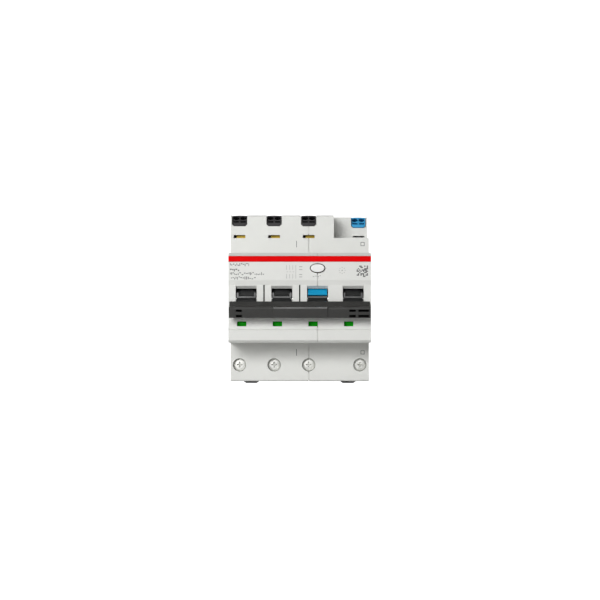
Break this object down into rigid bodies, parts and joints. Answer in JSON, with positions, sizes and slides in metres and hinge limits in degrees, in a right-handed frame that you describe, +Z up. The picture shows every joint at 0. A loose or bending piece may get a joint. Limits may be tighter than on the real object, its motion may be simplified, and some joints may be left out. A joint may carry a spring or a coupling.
{
  "type": "residual current device",
  "caption": "Rail-mounted residual current device with overcurrent protection: push-in terminals above, screw terminals below, linked handle, test button and rail clips.",
  "frame": {"origin": "centre of the face that rests on the mounting rail, midway across the modules", "axes": "+X to the right, +Y from the front into the wall, +Z up"},
  "size_m": [0.07, 0.0779, 0.0885],
  "materials": {
    "housing": "fine matt grain, light grey-white",
    "stripe_red": "smooth red",
    "insert_black": "satin black",
    "insert_blue": "satin blue",
    "brass": "plain stamped brass",
    "copper": "plain copper",
    "steel": "zinc plated",
    "handle": "matt dark grey",
    "toggle": "matt dark grey",
    "flag_blue": "smooth blue",
    "flag_green": "green over red",
    "button": "smooth white",
    "clip": "matt dark grey",
    "insulator": "moulded, matt",
    "relay": "moulded, matt"
  },
  "bodies": {
    "housing": {"housing_left": "housing", "housing_right": "housing", "red_stripe": "stripe_red", "rivet_1": "steel", "rivet_2": "steel", "rivet_3": "steel", "terminal_insert_L1": "insert_black", "terminal_insert_L2": "insert_black", "terminal_insert_L3": "insert_black", "terminal_insert_N": "insert_blue", "partition_1": "insulator", "partition_2": "insulator", "handle_axle": "steel", "summation_core": "relay", "trip_relay": "relay", "test_contact_blade": "brass", "upper_bar_L1": "brass", "upper_bar_L2": "brass", "upper_bar_L3": "brass", "upper_bar_N": "brass", "lower_bar_L1": "copper", "lower_bar_L2": "copper", "lower_bar_L3": "copper", "lower_bar_N": "copper", "trip_coil_L1": "copper", "trip_coil_L2": "copper", "trip_coil_L3": "copper", "clamp_spring_L1": "steel", "clamp_spring_L2": "steel", "clamp_spring_L3": "steel", "clamp_spring_N": "steel", "arc_chute_L1": "steel", "arc_chute_L2": "steel", "arc_chute_L3": "steel", "bimetal_L1": "steel", "bimetal_L2": "steel", "bimetal_L3": "steel"},
    "handle": {"tie_bar": "handle", "toggle_L1": "toggle", "toggle_L2": "toggle", "toggle_L3": "toggle", "toggle_N": "toggle"},
    "residual_flag": {"residual_trip_flag": "flag_blue"},
    "contacts": {"contact_shaft": "insulator", "contact_arm_L1": "copper", "contact_arm_L2": "copper", "contact_arm_L3": "copper", "contact_arm_N": "copper"},
    "position_flags": {"position_flag_rocker": "flag_green"},
    "test_button": {"test_button": "button"},
    "clip_left": {"rail_clip_left": "clip"},
    "clip_right": {"rail_clip_right": "clip"},
    "screw_L1": {"terminal_screw_L1": "steel"},
    "cage_L1": {"clamp_cage_L1": "steel"},
    "screw_L2": {"terminal_screw_L2": "steel"},
    "cage_L2": {"clamp_cage_L2": "steel"},
    "screw_L3": {"terminal_screw_L3": "steel"},
    "cage_L3": {"clamp_cage_L3": "steel"},
    "screw_N": {"terminal_screw_N": "steel"},
    "cage_N": {"clamp_cage_N": "steel"}
  },
  "joints": [
    {"name": "handle_swing", "type": "hinge", "parent": "housing", "child": "handle", "pos_m": [0, -0.057, -0.0005], "axis": [1, 0, 0], "range_deg": [-50, 0]},
    {"name": "residual_flag_pop", "type": "hinge", "parent": "handle", "child": "residual_flag", "pos_m": [0.00875, -0.057, -0.0005], "axis": [1, 0, 0], "range_deg": [-14, 0]},
    {"name": "contact_swing", "type": "hinge", "parent": "housing", "child": "contacts", "pos_m": [0, -0.031, 0.001], "axis": [1, 0, 0], "range_deg": [-25.5, 0.5]},
    {"name": "position_flag_rock", "type": "hinge", "parent": "housing", "child": "position_flags", "pos_m": [0, -0.0564, -0.0128], "axis": [1, 0, 0], "range_deg": [-50.5, 0.5]},
    {"name": "test_button_press", "type": "slide", "parent": "housing", "child": "test_button", "axis": [0, 1, 0], "range_m": [0, 0.0012], "stiffness_N_per_m": 400},
    {"name": "clip_left_pull", "type": "slide", "parent": "housing", "child": "clip_left", "axis": [0, 0, -1], "range_m": [0, 0.0035], "stiffness_N_per_m": 800},
    {"name": "clip_right_pull", "type": "slide", "parent": "housing", "child": "clip_right", "axis": [0, 0, -1], "range_m": [0, 0.0035], "stiffness_N_per_m": 800},
    {"name": "screw_L1_turn", "type": "hinge", "parent": "housing", "child": "screw_L1", "pos_m": [-0.03045, -0.04, -0.03375], "axis": [0, 1, 0], "range_deg": [-5, 3155]},
    {"name": "cage_L1_lift", "type": "slide", "parent": "housing", "child": "cage_L1", "axis": [0, -1, 0], "range_m": [0, 0.00525]},
    {"name": "screw_L2_turn", "type": "hinge", "parent": "housing", "child": "screw_L2", "pos_m": [-0.01295, -0.04, -0.03375], "axis": [0, 1, 0], "range_deg": [-5, 3155]},
    {"name": "cage_L2_lift", "type": "slide", "parent": "housing", "child": "cage_L2", "axis": [0, -1, 0], "range_m": [0, 0.00525]},
    {"name": "screw_L3_turn", "type": "hinge", "parent": "housing", "child": "screw_L3", "pos_m": [0.00455, -0.04, -0.03375], "axis": [0, 1, 0], "range_deg": [-5, 3155]},
    {"name": "cage_L3_lift", "type": "slide", "parent": "housing", "child": "cage_L3", "axis": [0, -1, 0], "range_m": [0, 0.00525]},
    {"name": "screw_N_turn", "type": "hinge", "parent": "housing", "child": "screw_N", "pos_m": [0.03045, -0.04, -0.03375], "axis": [0, 1, 0], "range_deg": [-5, 3155]},
    {"name": "cage_N_lift", "type": "slide", "parent": "housing", "child": "cage_N", "axis": [0, -1, 0], "range_m": [0, 0.00525]}
  ],
  "couplings": [
    {"joint": "contact_swing", "follows": "handle_swing", "ratio": 0.5},
    {"joint": "position_flag_rock", "follows": "handle_swing", "ratio": 1},
    {"joint": "screw_L1_turn", "follows": "cage_L1_lift", "rad_per_m": 10472},
    {"joint": "screw_L2_turn", "follows": "cage_L2_lift", "rad_per_m": 10472},
    {"joint": "screw_L3_turn", "follows": "cage_L3_lift", "rad_per_m": 10472},
    {"joint": "screw_N_turn", "follows": "cage_N_lift", "rad_per_m": 10472}
  ]
}
